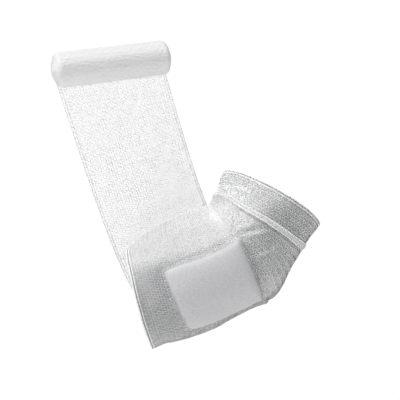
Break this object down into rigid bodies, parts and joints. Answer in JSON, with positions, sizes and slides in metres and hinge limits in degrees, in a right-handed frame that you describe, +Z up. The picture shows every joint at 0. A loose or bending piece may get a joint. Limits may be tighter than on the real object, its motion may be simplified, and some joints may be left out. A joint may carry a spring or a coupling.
{
  "type": "crepe bandage wrapped on an elbow over a dressing pad",
  "caption": "White crepe bandage wound round a bent elbow over a square dressing pad, with a free strip leading up to the wound roll.",
  "frame": {"origin": "corner of the elbow, where the centre lines of the forearm run and the upper arm run of the hollow meet", "axes": "+Z up, the bend lies in the XZ plane, the dressing pad faces -Y, the forearm opening is at -X and the upper arm opening is up and at +X"},
  "size_m": [0.2311, 0.1085, 0.2705],
  "materials": {
    "crepe": "matte open crepe weave",
    "roll_crepe": "matte layered crepe",
    "strip_crepe": "matte open crepe weave",
    "pad_felt": "matte soft felt"
  },
  "bodies": {
    "root": {"dressing_pad": "pad_felt", "upper_arm_turn": "crepe", "elbow_turn": "crepe", "forearm_turn": "crepe", "bandage_tail": "strip_crepe", "bandage_roll": "roll_crepe"}
  },
  "joints": []
}
